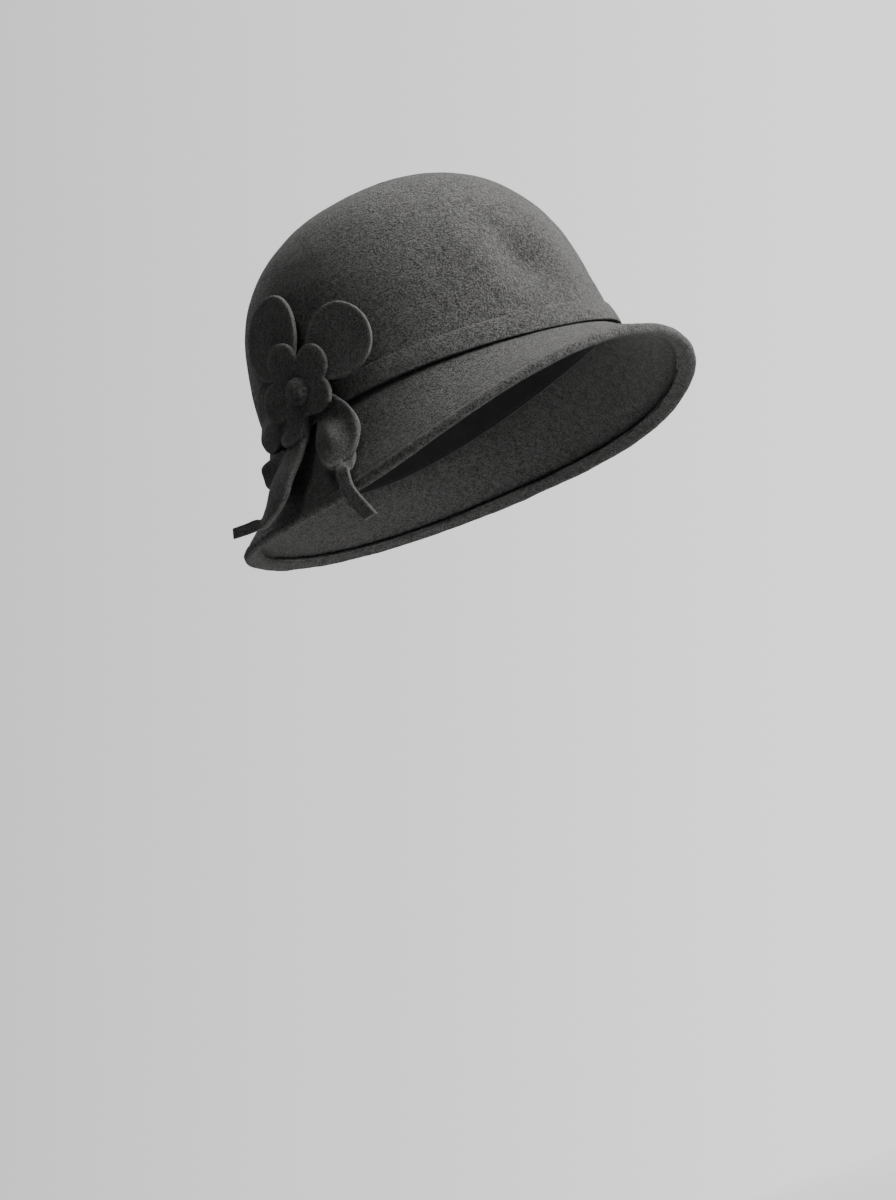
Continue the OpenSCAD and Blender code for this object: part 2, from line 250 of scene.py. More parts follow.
# ---- Making meshes ----

def grid_faces(rows, columns, loop_rows=False, loop_columns=True):
    i = np.arange(rows if loop_rows else rows - 1)[:, None]
    j = np.arange(columns if loop_columns else columns - 1)[None]
    a, b = i * columns + j, i * columns + (j + 1) % columns
    below = (i + 1) % rows * columns
    return np.stack([a, b, below + (j + 1) % columns, below + j], -1).reshape(-1, 4).tolist()


def fan(ring, tip):
    return [[tip, ring[j], ring[(j + 1) % len(ring)]] for j in range(len(ring))]


def make(name, points, faces, material, slot, body="hat", stands_for=(), marks=None):
    """A smooth mesh from points in millimetres. marks are named numbers at each point."""
    mesh = bpy.data.meshes.new(name)
    mesh.from_pydata((np.asarray(points, float) * MM).tolist(), [], faces)
    for key, values in (marks or {}).items():
        layer = mesh.attributes.new(key, "FLOAT", "POINT")
        layer.data.foreach_set("value", np.asarray(values, np.float32))
    work = bmesh.new()
    work.from_mesh(mesh)
    bmesh.ops.recalc_face_normals(work, faces=work.faces)
    work.to_mesh(mesh)
    work.free()
    mesh.polygons.foreach_set("use_smooth", [True] * len(mesh.polygons))
    mesh.materials.append(material)
    piece = bpy.data.objects.new(name, mesh)
    bpy.context.scene.collection.objects.link(piece)
    if body:
        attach(piece, body)
    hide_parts(*stands_for)
    return piece


def loft(name, rings, material, slot, looped=False, tips=(), ring_marks=None, **more):
    """Joins rings of points into a closed shell. tips are the two end points of an open
    one, and without them its ends are flat."""
    rows, columns = rings.shape[:2]
    points = np.concatenate([rings.reshape(-1, 3), np.reshape(tips, (-1, 3))])
    faces = grid_faces(rows, columns, looped)
    first, last = list(range(columns)), list(range((rows - 1) * columns, rows * columns))
    if len(tips):
        faces += fan(first, rows * columns) + fan(last, rows * columns + 1)
    elif not looped:
        faces += [first, last]
    marks = {}
    for key, values in (ring_marks or {}).items():
        flat = np.broadcast_to(values, (rows, columns)).ravel()
        marks[key] = np.concatenate([flat, np.zeros(len(points) - len(flat))])
    return make(name, points, faces, material, slot, marks=marks, **more)


def rough(points, wave, seed):
    """Smooth noise between about -1 and 1 whose bumps are wave millimetres across."""
    shift = Vector((seed * 3.7, seed * 1.9, seed * 5.3))
    return np.array([noise.noise(Vector(p) / wave + shift) for p in points])


def relief(piece, height):
    """Moves each point of a piece along its normal by height(points), in millimetres."""
    mesh = piece.data
    co = np.empty(len(mesh.vertices) * 3, np.float32)
    mesh.vertices.foreach_get("co", co)
    normals = np.empty(len(co), np.float32)
    mesh.vertex_normals.foreach_get("vector", normals)
    points = co.reshape(-1, 3) / MM
    moved = points + normals.reshape(-1, 3) * height(points)[:, None]
    mesh.vertices.foreach_set("co", (moved * MM).ravel())
    mesh.update()


def curve(points, steps=8):
    """Smooth curve through rows of numbers, with a number of steps in each span."""
    p = np.asarray(points, float)
    last = len(p) - 1
    out = []
    for i in range(last):
        a, b, c, d = p[max(0, i - 1)], p[i], p[i + 1], p[min(last, i + 2)]
        for u in np.arange(steps) / steps:
            out.append(b + (c - a) * u / 2 + (2 * a - 5 * b + 4 * c - d) * u * u / 2
                       + (3 * b - a - 3 * c + d) * u ** 3 / 2)
    return np.array(out + [p[last]])


def length_of(path):
    return float(np.linalg.norm(np.diff(path, axis=0), axis=1).sum())


# ---- Materials ----

class Nodes:
    """A short way to write a material's nodes."""

    def __init__(self, name):
        self.material = bpy.data.materials.new(name)
        self.material.use_nodes = True
        self.tree = self.material.node_tree
        self.shader = self.tree.nodes["Principled BSDF"]
        self.place = self.add("ShaderNodeTexCoord").outputs["Object"]

    def add(self, kind, inputs=None, **settings):
        node = self.tree.nodes.new(kind)
        for key, value in settings.items():
            setattr(node, key, value)
        for key, value in (inputs or {}).items():
            self.set(node, key, value)
        return node

    def set(self, node, key, value):
        if isinstance(value, bpy.types.NodeSocket):
            self.tree.links.new(value, node.inputs[key])
        else:
            node.inputs[key].default_value = value

    def noise(self, scale, detail=4.0, roughness=0.6, distortion=0.0):
        node = self.add("ShaderNodeTexNoise", {"Vector": self.place, "Scale": scale,
                        "Detail": detail, "Roughness": roughness, "Distortion": distortion})
        return node.outputs["Fac"]

    def math(self, operation, a, b=0.5, clamp=False):
        node = self.add("ShaderNodeMath", {0: a, 1: b}, operation=operation, use_clamp=clamp)
        return node.outputs[0]

    def ridge(self, value, sharpness):
        """Bright thin lines where a noise passes its middle: matted fibres."""
        off = self.math("ABSOLUTE", self.math("SUBTRACT", value, 0.5))
        line = self.math("SUBTRACT", 1.0, self.math("MULTIPLY", off, 4.0), clamp=True)
        return self.math("POWER", line, sharpness)

    def span(self, value, low, high, to_low=0.0, to_high=1.0):
        node = self.add("ShaderNodeMapRange", {"Value": value, "From Min": low, "From Max": high,
                        "To Min": to_low, "To Max": to_high})
        return node.outputs[0]

    def mix(self, share, a, b):
        node = self.add("ShaderNodeMix", data_type="RGBA")
        self.set(node, "Factor", share)
        for socket, value in (("A_Color", a), ("B_Color", b)):
            target = next(s for s in node.inputs if s.identifier == socket)
            if isinstance(value, bpy.types.NodeSocket):
                self.tree.links.new(value, target)
            else:
                target.default_value = (*value, 1.0)
        return next(s for s in node.outputs if s.identifier == "Result_Color")

    def mark(self, key):
        return self.add("ShaderNodeAttribute", attribute_name=key).outputs["Fac"]

    def bump(self, height, distance, strength):
        node = self.add("ShaderNodeBump", {"Height": height, "Distance": distance,
                        "Strength": strength})
        self.set(self.shader, "Normal", node.outputs["Normal"])


def grey(value, warmth=0.02):
    return (value * (1 + warmth), value, value * (1 - 1.5 * warmth))


def felt_material(name, tone, curl=1.0):
    """Wool felt: short pale curly fibres, soft blotches, and paler cut edges, partly felt
    fuzz and partly a painted rim highlight that shows even on their shaded side."""
    n = Nodes(name)
    curls = n.ridge(n.noise(430.0 * curl, 2.0, 0.5, 3.0), 1.3)
    specks = n.span(n.noise(1050.0 * curl, 2.0, 0.6, 0.5), 0.42, 0.62)
    tufts = n.noise(360.0 * curl, 4.0, 0.62, 0.8)
    blotches = n.noise(30.0)
    fibres = n.math("ADD", n.math("MULTIPLY", curls, 0.42), n.math("MULTIPLY", specks, 0.58))
    matted = n.math("ADD", fibres, n.span(tufts, 0.35, 0.65, -0.2, 0.2))
    colour = n.mix(n.span(matted, 0.1, 1.0), grey(tone * 0.25), grey(tone * 2.5))
    colour = n.mix(n.span(blotches, 0.35, 0.7, 0.0, 0.25), colour, grey(tone * 1.5))
    # The cut edges are painted paler: partly felt fuzz, partly a painted rim highlight that is
    # there even where no lamp reaches.
    fuzz_and_rim_highlight = n.math("MULTIPLY", n.mark("cut"), n.span(matted, 0.1, 0.8, 0.35, 0.85), clamp=True)
    colour = n.mix(fuzz_and_rim_highlight, colour, grey(tone * 2.9))
    n.set(n.shader, "Base Color", colour)
    n.set(n.shader, "Roughness", 0.95)
    n.set(n.shader, "Specular IOR Level", 0.12)
    n.set(n.shader, "Sheen Weight", 0.2)
    n.set(n.shader, "Sheen Roughness", 0.5)
    n.set(n.shader, "Sheen Tint", (0.75, 0.75, 0.73, 1.0))
    n.bump(matted, 0.0009, 0.9)
    return n.material


def ribbon_material(name):
    """Ribbed ribbon: fine threads across ribs that are in the mesh."""
    n = Nodes(name)
    turn = n.add("ShaderNodeSeparateXYZ", {0: n.place})
    weft = n.math("SINE", n.math("MULTIPLY", turn.outputs["Z"], 2 * math.pi / 0.0006))
    wear = n.noise(60.0)
    grain = n.noise(2400.0, 2.0, 0.5)
    tone = n.math("ADD", n.span(wear, 0.3, 0.7, 0.0, 0.6), n.span(grain, 0.3, 0.7, 0.0, 0.4))
    n.set(n.shader, "Base Color", n.mix(tone, grey(0.012), grey(0.03)))
    n.set(n.shader, "Roughness", 0.6)
    n.set(n.shader, "Sheen Weight", 0.15)
    n.bump(n.math("ADD", n.math("MULTIPLY", weft, 0.3), grain), 0.00012, 0.6)
    return n.material


def thread_material(name, tone):
    n = Nodes(name)
    strands = n.noise(1500.0, 3.0, 0.6, 0.8)
    colour = n.mix(n.span(strands, 0.3, 0.7), grey(tone * 0.6), grey(tone * 1.4))
    n.set(n.shader, "Base Color", colour)
    n.set(n.shader, "Roughness", 0.7)
    n.set(n.shader, "Sheen Weight", 0.2)
    n.bump(strands, 0.0002, 0.5)
    return n.material


def label_material(name):
    """Plain woven cloth, a little uneven."""
    n = Nodes(name)
    parts = n.add("ShaderNodeSeparateXYZ", {0: n.place})
    warp = n.math("SINE", n.math("MULTIPLY", parts.outputs["X"], 2 * math.pi / 0.0005))
    weft = n.math("SINE", n.math("MULTIPLY", parts.outputs["Z"], 2 * math.pi / 0.0005))
    weave = n.span(n.math("MULTIPLY", warp, weft), -1.0, 1.0)
    stain = n.noise(160.0)
    light = n.mix(n.span(stain, 0.3, 0.7), (0.50, 0.48, 0.43), (0.60, 0.58, 0.53))
    n.set(n.shader, "Base Color", n.mix(weave, light, (0.42, 0.40, 0.36)))
    n.set(n.shader, "Roughness", 0.85)
    n.bump(weave, 0.0002, 0.5)
    return n.material


def steel_material(name, tone):
    n = Nodes(name)
    streaks = n.noise(900.0, 4.0, 0.6, 0.3)
    dull = n.noise(220.0)
    colour = n.mix(n.span(dull, 0.3, 0.7), grey(tone * 0.8, 0.0), grey(tone, 0.0))
    n.set(n.shader, "Base Color", colour)
    n.set(n.shader, "Metallic", 1.0)
    n.set(n.shader, "Roughness", n.span(streaks, 0.2, 0.8, 0.25, 0.5))
    n.bump(streaks, 0.00005, 0.4)
    return n.material


TONE = 0.05
CROWN_FELT = felt_material("crown_wool_felt", TONE)
BRIM_FELT = felt_material("brim_wool_felt", TONE)
BAND_FELT = felt_material("band_wool_felt", TONE)
TRIM_FELT = felt_material("trim_wool_felt", TONE * 0.9, 1.1)
RIBBON = ribbon_material("grosgrain_ribbon")
THREAD = thread_material("sewing_thread", 0.03)
LABEL = label_material("woven_label")
WIRE = steel_material("hem_wire", 0.6)
BUTTON_STEEL = steel_material("button_steel", 0.62)

# The CAD's own metal parts, kept as they are
METAL = {"brim_wire": WIRE, "wire_joiner": WIRE, "button_shell": BUTTON_STEEL,
         "button_back": BUTTON_STEEL, "button_shank": BUTTON_STEEL}
for node, material in METAL.items():
    mesh = frame["nodes"][node].data
    mesh.materials.clear()
    mesh.materials.append(material)


# ---- Crown and brim ----

def full_turn(count):
    return np.arange(count) * 2 * np.pi / count


def crown():
    t = full_turn(360)

    def wall(out, rows):
        share = np.sin(np.arange(rows) / rows * np.pi / 2)[:, None]
        return crown_point(t, z_head(t) + (HEIGHT + out - z_head(t)) * share, out)

    rings = np.concatenate([wall(-FELT, 60)[::-1], wall(0.0, 120)])
    tips = [crown_point(0.0, HEIGHT - FELT, -FELT), crown_point(0.0, HEIGHT, 0.0)]
    piece = loft("felt_crown", rings, CROWN_FELT, "crown_felt", tips=tips, stands_for=["crown"])

    def height(p):
        free = smooth(p[:, 2], BAND_HEIGHT + 2, BAND_HEIGHT + 22)
        return free * (0.7 * rough(p, 34, 1) + 0.28 * rough(p, 13, 2)) + 0.08 * rough(p, 4, 3)

    relief(piece, height)


def brim_section(t):
    """Closed section of the brim as rho and z, one row for each angle in t."""
    t = t[:, None]
    turn, hem, top = s_turn(t), s_hem(t), z_head(t) + COLLAR_HEIGHT
    size = brim_length(t)

    def face(s):
        from_turn = (turn - s) * size
        groove = 0.3 * bell((from_turn - 1.4) / 0.9)
        bead = 0.12 * bell(from_turn / 1.4)
        return brim_depth(t, s, groove - bead)

    def edge(r, a):
        middle = brim_depth(t, turn, EDGE_R)
        return middle + r * (np.cos(a) * brim_out(t, turn) + np.sin(a) * brim_along(t, turn))

    def past_hem(d):
        """Share of the brim at a distance d outward from the hem's raw edge."""
        return hem + d / size

    def upright(rho, z):
        return np.stack(np.broadcast_arrays(rho + 0 * t, z + 0 * t), -1)

    root, face_rows = 0.13, 52
    outer = [face(s + 0 * t) for s in (0, 0.012, 0.03, 0.05, 0.07, 0.1, root)]
    outer += [face(root + (turn - root) * i / face_rows) for i in range(1, face_rows)]
    outer += [edge(EDGE_R + 0.12 * math.cos(a / 2) ** 2, a) for a in np.linspace(0, np.pi, 15)]
    under = [brim_depth(t, turn + (hem - turn) * i / 9, 2 * EDGE_R) for i in range(1, 9)]
    round_r = 0.7
    lip = [brim_depth(t, past_hem(round_r * (1 - math.sin(a))),
                      2 * EDGE_R - round_r * (1 - math.cos(a)))
           for a in np.linspace(0, np.pi / 2, 5)]
    lip += [brim_depth(t, past_hem(0.0), 2 * EDGE_R - 1.6)]
    crevice = [brim_depth(t, past_hem(0.5), EDGE_R + 0.35), brim_depth(t, past_hem(0.9), EDGE_R),
               brim_depth(t, past_hem(0.3), FELT + 0.02), brim_depth(t, past_hem(-0.6), FELT)]
    inner_end, inner_rows = 0.17, 26
    inner = [brim_depth(t, inner_end + (past_hem(-1.2) - inner_end) * (1 - i / inner_rows), FELT)
             for i in range(inner_rows + 1)]
    inside, chamfer = -TUCK - COLLAR_THICKNESS, 0.6
    collar = [upright(inside, z_head(t) - 1), upright(inside, z_head(t) + 3),
              upright(inside, top - chamfer), upright(inside + chamfer, top),
              upright(-TUCK - chamfer, top), upright(-TUCK, top - chamfer),
              upright(-TUCK, z_head(t) + COLLAR_HEIGHT / 2)]
    plain = len(crevice) + len(inner) + len(collar)
    # cut paints the hem's raw edge paler: partly felt fuzz, partly a painted rim highlight.
    cut = [0.0] * (len(outer) + len(under)) + [0.6, 0.8, 1.0, 1.0, 0.8, 0.4] + [0.0] * plain
    section = outer + under + lip + crevice + inner + collar
    return np.concatenate(section, 1), np.array(cut)


def brim():
    t = full_turn(480)
    section, cut = brim_section(t)
    rings = at(t[:, None], section[..., 0], section[..., 1])
    piece = loft("felt_brim", rings, BRIM_FELT, "brim_felt", looped=True, stands_for=["brim"],
                 ring_marks={"cut": cut[None]})

    def height(p):
        t = np.arctan2(p[:, 0], -p[:, 1])
        free = smooth(z_head(t) - p[:, 2], 4, 12)
        fine = 0.12 * rough(p, 4.5, 6) + 0.08 * rough(p, 2.2, 9)
        return free * (0.5 * rough(p, 30, 4) + 0.25 * rough(p, 11, 5)) + fine

    relief(piece, height)


# ---- Bands ----

def hatband():
    half_gap = math.radians(0.3)
    t = np.linspace(FLOWER_ANGLE + half_gap, FLOWER_ANGLE + 2 * np.pi - half_gap, 720)[:, None]
    low, high = GAP / 2, GAP / 2 + BAND_THICKNESS
    bottom = z_head(t) - 1.5
    top = z_head(t) - 0.3 + BAND_HEIGHT
    r, skive, face_rows = 0.7, 1.25, 16
    corner = np.linspace(0, np.pi / 2, 4)
    # The section as rho, z and how much its cut edge is painted paler: partly felt fuzz, partly a
    # painted rim highlight
    section = [(high - skive - r + r * math.sin(a), top - r + r * math.cos(a), 0.2) for a in corner]
    for share in np.arange(1, face_rows) / face_rows:
        section.append((high - skive * (1 - share) ** 2,
                        top - r + (bottom - top + 2 * r) * share, 0.0))
    section += [(high - r + r * math.cos(a), bottom + r - r * math.sin(a), 0.15) for a in corner]
    section += [(low + 0.3, bottom, 0.3), (low, bottom + 0.4, 0.0), (low, top - 0.4, 0.0),
                (low + 0.3, top, 0.7)]
    rho = np.array([x for x, _, _ in section])[None] + 0 * t
    z = np.concatenate([v + 0 * t for _, v, _ in section], 1)
    cut = [mark for _, _, mark in section]
    piece = loft("felt_band", at(t, rho, z), BAND_FELT, "band_felt", stands_for=["hatband"],
                 ring_marks={"cut": np.array(cut)[None]})
    relief(piece, lambda p: 0.16 * rough(p, 9, 7) + 0.1 * rough(p, 2.5, 8))
    middle = at(t[:, 0], (low + high) / 2, (bottom + top)[:, 0] / 2)


def sweatband():
    ribs = 540
    t = full_turn(ribs * 4)[:, None]
    rib = 0.09 * np.cos(ribs * t)
    bottom = z_head(t) - 0.5
    shares = np.concatenate([[0.0, 0.02, 0.05], np.linspace(0.1, 0.9, 6), [0.95, 0.98, 1.0]])
    selvedge = 0.06 * (bell((shares - 0.03) / 0.02) + bell((shares - 0.97) / 0.02))
    inner = SWEATBAND_OUTER - SWEATBAND_THICKNESS + 0.1
    rows = [(SWEATBAND_OUTER - 0.02 + 0 * t, bottom + SWEATBAND_HEIGHT * s)
            for s in (1, 0.66, 0.33, 0)]
    rows += [(inner + rib * (0 if s in (0, 1) else 1) - e, bottom + SWEATBAND_HEIGHT * s)
             for s, e in zip(shares, selvedge)]
    rho = np.concatenate([r for r, _ in rows], 1)
    z = np.concatenate([v for _, v in rows], 1)
    piece = loft("ribbon_sweatband", at(t, rho, z), RIBBON, "ribbon", looped=True,
                 stands_for=["sweatband"])
    middle = at(np.append(t[:, 0], t[0, 0]), inner,
                np.append(bottom, bottom[0]) + SWEATBAND_HEIGHT / 2)


def size_label():
    """A small blank woven label at the back of the sweatband."""
    outer = SWEATBAND_OUTER - SWEATBAND_THICKNESS - 0.15
    inner = outer - 0.35
    t = np.radians(np.linspace(175, 185, 41))[:, None]
    low = z_head(t) + 4
    rows = 25
    shares = np.linspace(0, 1, rows)
    rho = np.repeat([outer, inner], rows)[None] + 0 * t
    share = np.concatenate([shares, shares[::-1]])[None]
    rho = rho + 0.05 * np.cos(share * 12 * np.pi) * (rho < outer - 0.1)
    piece = loft("woven_label", at(t, rho, low + LABEL_HEIGHT * share), LABEL, "label_cloth",
                 stands_for=["size_label"])
    width = length_of(at(t[:, 0], inner, low[:, 0]))


# ---- Stitches ----

def thread_piece(name, ends, radius, node):
    """One mesh of short rounded stitches. ends are pairs of points, and each stitch is
    pulled in toward its ends and turns twice, as sewing thread does."""
    around, rows = 8, 9
    points, faces = [], []
    for start, end in ends:
        axis = unit(end - start)
        side = unit(np.cross(axis, [0.3, 0.2, 0.9]))
        up = np.cross(axis, side)
        base = len(points)
        for u in np.linspace(0, 1, rows):
            thick = radius * math.sqrt(max(0.02, 1 - (2 * u - 1) ** 4))
            for j in range(around):
                a = 2 * np.pi * j / around
                r = thick * (1 + 0.12 * math.cos(2 * a + 4 * np.pi * u))
                points.append(start + (end - start) * u
                              + r * (math.cos(a) * side + math.sin(a) * up))
        faces += [[base + k for k in face] for face in grid_faces(rows, around)]
        faces += [list(range(base, base + around)),
                  list(range(base + (rows - 1) * around, base + rows * around))]
    return make(name, points, faces, THREAD, "thread", stands_for=[node])


def stitch_half(t, span):
    """Half the angle that a stitch of length span covers at angle t."""
    return span / (2 * np.hypot(HALF_WIDTH * np.cos(t), HALF_LENGTH * np.sin(t)))


def stitches():
    """The four hidden rows: crown seam, hem, hatband and sweatband."""
    def row(count, span, from_point, to_point, start=0.0):
        ends = []
        for t in start + full_turn(count):
            half = stitch_half(t, span)
            ends.append((from_point(t - half), to_point(t + half)))
        return ends

    seam = row(60, 4.5, lambda t: at(t, -FELT / 2, z_head(t) + 3),
               lambda t: at(t, -TUCK - 0.8, z_head(t) + 3))
    thread_piece("seam_stitches", seam, 0.3, "head_seam_stitching")

    def on_hem(t, off):
        s = s_hem(t) + off / brim_length(t)
        p = brim_depth(t, s, 2 * EDGE_R + 0.02)
        return at(t, p[..., 0], p[..., 1])

    hem = row(144, 3.0, lambda t: on_hem(t, 1.2), lambda t: on_hem(t, 1.8))
    thread_piece("hem_stitches", hem, 0.26, "hem_stitching")

    band_z = lambda t: z_head(t) + BAND_HEIGHT - 1.2
    slips = []
    for t in FLOWER_ANGLE + math.radians(15) * np.arange(1, 24):
        slips.append((at(t, -1.0, band_z(t)), at(t, GAP / 2 + 1.2, band_z(t))))
    thread_piece("band_stitches", slips, 0.28, "hatband_stitching")

    inner = SWEATBAND_OUTER - SWEATBAND_THICKNESS
    sweat = row(120, 3.2, lambda t: at(t, inner + 0.15, z_head(t) + 1.2),
                lambda t: at(t, inner + 0.05, z_head(t) + 1.7), math.radians(1.5))
    thread_piece("sweatband_stitches", sweat, 0.24, "sweatband_stitching")


# ---- Flower ----

def felt_patch(name, outline, middle, base, thickness, node, lift=None, sink=0.0, rings=22):
    """A felt shape cut to outline, [r, v] points, that follows the hat at a height base
    off it. lift(r, v, share) raises it, where share runs from its middle to its edge."""
    middle = np.asarray(middle, float)
    ahead = unit(np.roll(outline, -1, 0) - np.roll(outline, 1, 0))
    normal = np.stack([ahead[:, 1], -ahead[:, 0]], -1)
    if np.mean(np.sum(normal * (outline - middle), 1)) < 0:
        normal = -normal
    corner = 0.75

    def height(q, n, share):
        """Height off the hat at [r, v] points q, for a height n before sinking and lift."""
        raised = n - sink * np.linalg.norm(q - [0, FLOWER_HEIGHT], axis=-1)
        return raised + lift(q[..., 0], q[..., 1], share) if lift else raised

    def ring(share, inset, n):
        q = middle + (outline - inset * normal - middle) * share
        return trim_point(q[:, 0], q[:, 1], height(q, n, share))

    top, shares = base + thickness, np.arange(1, rings + 1) / rings
    # cut paints the top face's border and the rounded edge paler: partly felt fuzz, partly a
    # painted rim highlight.
    rows, cut = [], []

    def add(points, mark):
        rows.append(points)
        cut.append(mark)

    for share in shares:
        add(ring(share, corner, top), smooth(share, 0.9, 1.0))
    for a in np.radians([30, 60, 90]):
        add(ring(1.0, corner * (1 - math.sin(a)), top - corner * (1 - math.cos(a))), 0.8)
    add(ring(1.0, 0.1, base + thickness / 2), 0.6)
    for a in np.radians([90, 60, 30]):
        add(ring(1.0, corner * (1 - math.sin(a)), base + corner * (1 - math.cos(a))), 1.0)
    for share in shares[::-1]:
        add(ring(share, corner, base), 0.0)
    tips = [trim_point(*middle, height(middle[None], n, 0.0)[0]) for n in (top, base)]
    piece = loft(name, np.array(rows), TRIM_FELT, "trim_felt", tips=tips, stands_for=[node],
                 ring_marks={"cut": np.array(cut)[:, None]})
    seed = sum(ord(c) for c in name) % 50
    relief(piece, lambda p: 0.09 * rough(p, 6, seed) + 0.05 * rough(p, 2.2, seed + 1))
    area = 0.5 * abs(np.sum(outline[:, 0] * np.roll(outline[:, 1], -1)
                            - outline[:, 1] * np.roll(outline[:, 0], -1)))
    return piece, float(area)


def petal_outline(angle, start, length, width, power, count=144):
    """A drop with its root at start and its round end at start + length. A small power
    makes the root fuller."""
    full = 2 * ((power + 1) / (power + 2)) ** ((power + 1) / 2) / math.sqrt(power + 2)
    u, a = full_turn(count), math.radians(angle)
    x = start + length * (1 - np.cos(u)) / 2
    y = -width / 2 * np.sin(u) * np.abs(np.sin(u / 2)) ** power / full
    return np.stack([x * math.cos(a) - y * math.sin(a),
                     FLOWER_HEIGHT + x * math.sin(a) + y * math.cos(a)], -1)


def petal(name, node, angle, start, length, width, lift=None, sink=0.0, power=0.5):
    a = math.radians(angle)
    x = start + 0.55 * length
    middle = [x * math.cos(a), FLOWER_HEIGHT + x * math.sin(a)]
    piece, area = felt_patch(name, petal_outline(angle, start, length, width, power), middle,
                             PETAL_BASE, FELT, node, lift, sink)


# Hanging petal: its outline as [r, v], and the height of its outer face at r, v
HANGING_OUTLINE = [[6, 5], [14, 6], [22, -5], [27, -15], [28, -24], [25, -33], [19, -38], [13, -40],
                   [8, -34], [4, -23], [2, -11], [2, -2]]


def hanging_lift(r, v, share):
    """A cupped petal: low at its front edge and raised at its back and lower end, with a
    soft crest down its middle and a hollow beside the small flower."""
    down = -v
    raised = 3.6 * smooth(23 - r, 0, 13) * smooth(down, 4, 24)
    crest = 2.2 * bell((r - 14.5 - 0.3 * (down - 22)) / 5) * bell((down - 23) / 9)
    rim = 0.9 * bell((r - 25) / 3.5) * bell((down - 14) / 11)
    hollow = 1.6 * bell((r - 15.5) / 5) * bell((down - 10) / 5)
    return 5.6 - PETAL_BASE - FELT + raised + crest + rim - hollow


def closed_curve(points, steps=10):
    """Smooth closed curve through points."""
    looped = np.concatenate([points[-2:], points, points[:2]])
    return curve(looped, steps)[2 * steps:(len(points) + 2) * steps]


def petals():
    cup = lambda r, v, share: 1.2 * share ** 3 * np.ones_like(r)
    under = lambda r, v, share: -3.3 * smooth(v, 12, 24)
    petal("petal_front_upper", "petal_upper_front", 24, 10, 41, 38, cup, power=0.33)
    petal("petal_back_upper", "petal_upper_back", 111, 13, 45, 43, cup, sink=0.02, power=0.25)
    petal("petal_back_lower", "petal_lower_back", 172.5, 14, 47, 37, under, sink=0.02, power=0.25)
    patch("petal_hanging", "petal_folded", HANGING_OUTLINE, [14.5, -18], hanging_lift)


def patch(name, node, corners, middle, lift):
    """A petal or leaf cut to its own outline."""
    outline = closed_curve(np.array(corners, float))
    piece, area = felt_patch(name, outline, middle, PETAL_BASE, FELT, node, lift, rings=30)


# Small flower: each petal's angle and its share of the full reach
SMALL_PETALS = ((35, 1.0), (107, 1.14), (172, 1.12), (236, 1.28), (320, 0.86))


def small_flower():
    tip_r, valley_r, full = 10.0, 13.0, 25.0
    a = full_turn(300)
    radius = np.full(len(a), valley_r)
    for angle, share in SMALL_PETALS:
        off = a - math.radians(angle)
        middle = full * share - tip_r
        side = np.abs(middle * np.sin(off))
        hit = (side <= tip_r) & (np.cos(off) > 0)
        far = middle * np.cos(off) + np.sqrt(np.maximum(0, tip_r ** 2 - side ** 2))
        radius = np.where(hit, np.maximum(radius, far), radius)
    for _ in range(6):
        radius = (np.roll(radius, 1) + 2 * radius + np.roll(radius, -1)) / 4
    outline = np.stack([radius * np.cos(a), FLOWER_HEIGHT + radius * np.sin(a)], -1)

    def lift(r, v, share):
        around = np.arctan2(v - FLOWER_HEIGHT, r)
        reach_now = np.hypot(r, v - FLOWER_HEIGHT)
        lobes = sum(bell(wrap(around - math.radians(q)) / 0.42) for q, _ in SMALL_PETALS)
        press = -0.4 * bell(reach_now / 6)
        return press + 1.7 * lobes * smooth(reach_now, 8, 21)

    piece, area = felt_patch("flower_small", outline, [0.0, FLOWER_HEIGHT], SMALL_FLOWER_BASE,
                             FELT, "small_flower", lift)


def backing():
    a = full_turn(96)
    radius = 13 + 9 * bell(wrap(a - math.radians(142)) / 0.35)
    outline = np.stack([radius * np.cos(a), FLOWER_HEIGHT + radius * np.sin(a)], -1)
    piece, area = felt_patch("flower_pad", outline, [0.0, FLOWER_HEIGHT], BACKING_BASE, 1.0,
                             "flower_backing", rings=8)


def on_flower(points, base):
    """Points around the flower's own axis, +Z out of the hat, moved onto the crown."""
    lean_back = math.radians(86)
    turn = Matrix.Rotation(FLOWER_ANGLE, 3, "Z") @ Matrix.Rotation(lean_back, 3, "X")
    return points @ np.array(turn).T + trim_point(0.0, FLOWER_HEIGHT, base)


def button():
    """A felt-covered button: a dome whose cover is gathered a little at the rim."""
    a = full_turn(96)[None]

    def dome(r, h, count):
        lift = np.linspace(0, np.pi / 2, count)[:-1, None]
        pleat = 1 + 0.006 * np.cos(14 * a) * (1 - np.sin(lift)) ** 2
        out = r * np.cos(lift) * pleat
        return np.stack([out * np.cos(a), out * np.sin(a), h * np.sin(lift) ** 0.8 + 0 * a], -1)

    wall = 1.2
    rings = np.concatenate([dome(BUTTON_R - wall, BUTTON_H - wall, 16)[::-1],
                            dome(BUTTON_R, BUTTON_H, 30)])
    tips = np.array([[0, 0, BUTTON_H - wall], [0, 0, BUTTON_H]], float)
    piece = loft("button_felt", on_flower(rings, BUTTON_BASE), TRIM_FELT, "trim_felt",
                 tips=on_flower(tips, BUTTON_BASE), stands_for=["button_cover"])
    relief(piece, lambda p: 0.08 * rough(p, 4, 40))


